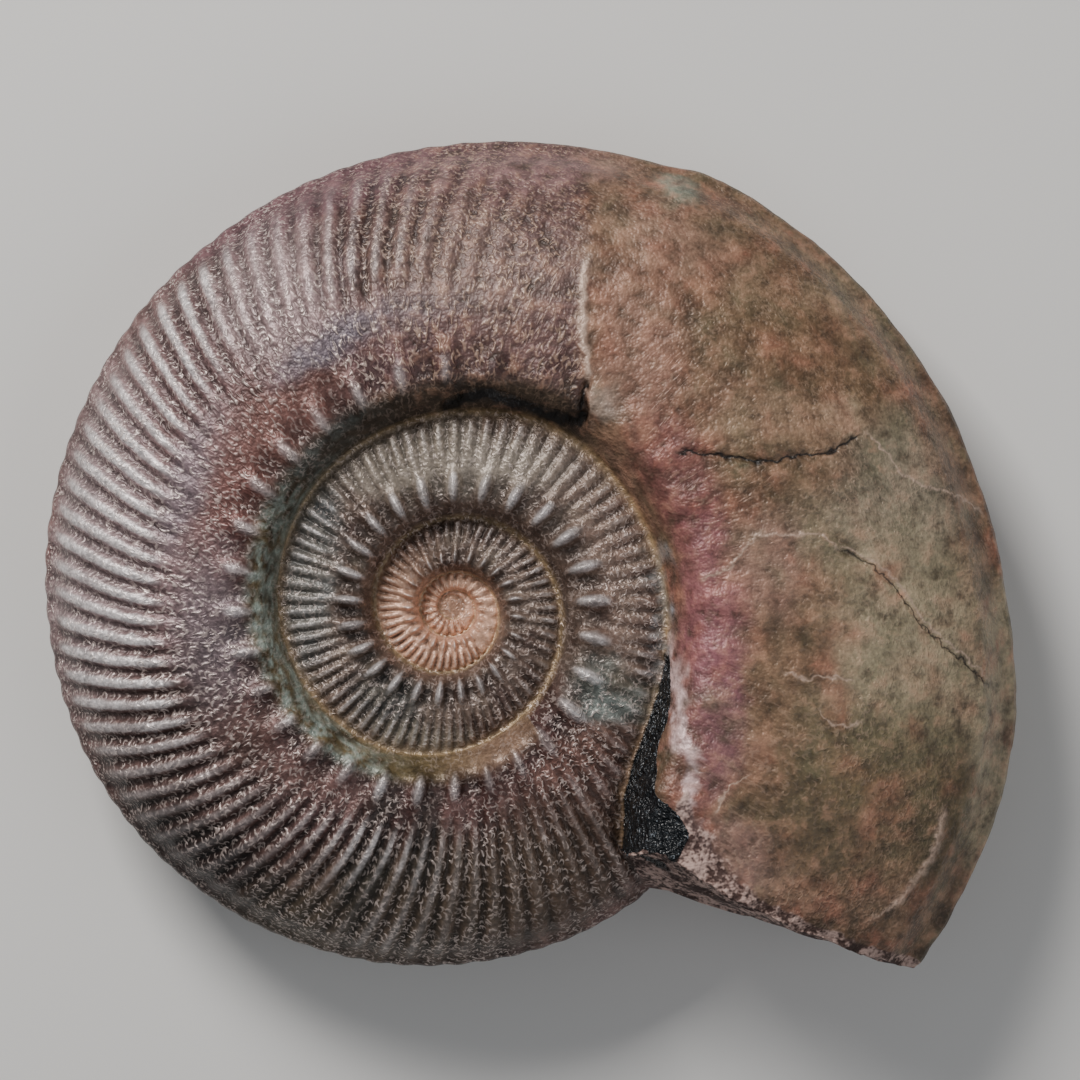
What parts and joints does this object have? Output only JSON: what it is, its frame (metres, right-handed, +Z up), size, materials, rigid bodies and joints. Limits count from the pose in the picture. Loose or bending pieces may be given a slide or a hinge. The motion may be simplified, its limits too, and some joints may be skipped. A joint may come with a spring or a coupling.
{
  "type": "ammonite fossil",
  "caption": "Coiled ammonite fossil of the Hammatoceras kind, lying on one flank, with ribbed whorls, a stepped umbilicus and a broken body chamber.",
  "frame": {"origin": "on the surface that the fossil lies on, under the middle of its bounding box", "axes": "+Z up, close to the axis of the coil; +X along the longest extent, towards the body chamber; the broken end of the body chamber faces -Y"},
  "size_m": [0.2006, 0.1704, 0.0561],
  "materials": {
    "fossil_shell": "satin mineralised shell, mottled red-brown and olive"
  },
  "bodies": {
    "root": {"ammonite": "fossil_shell"}
  },
  "joints": []
}
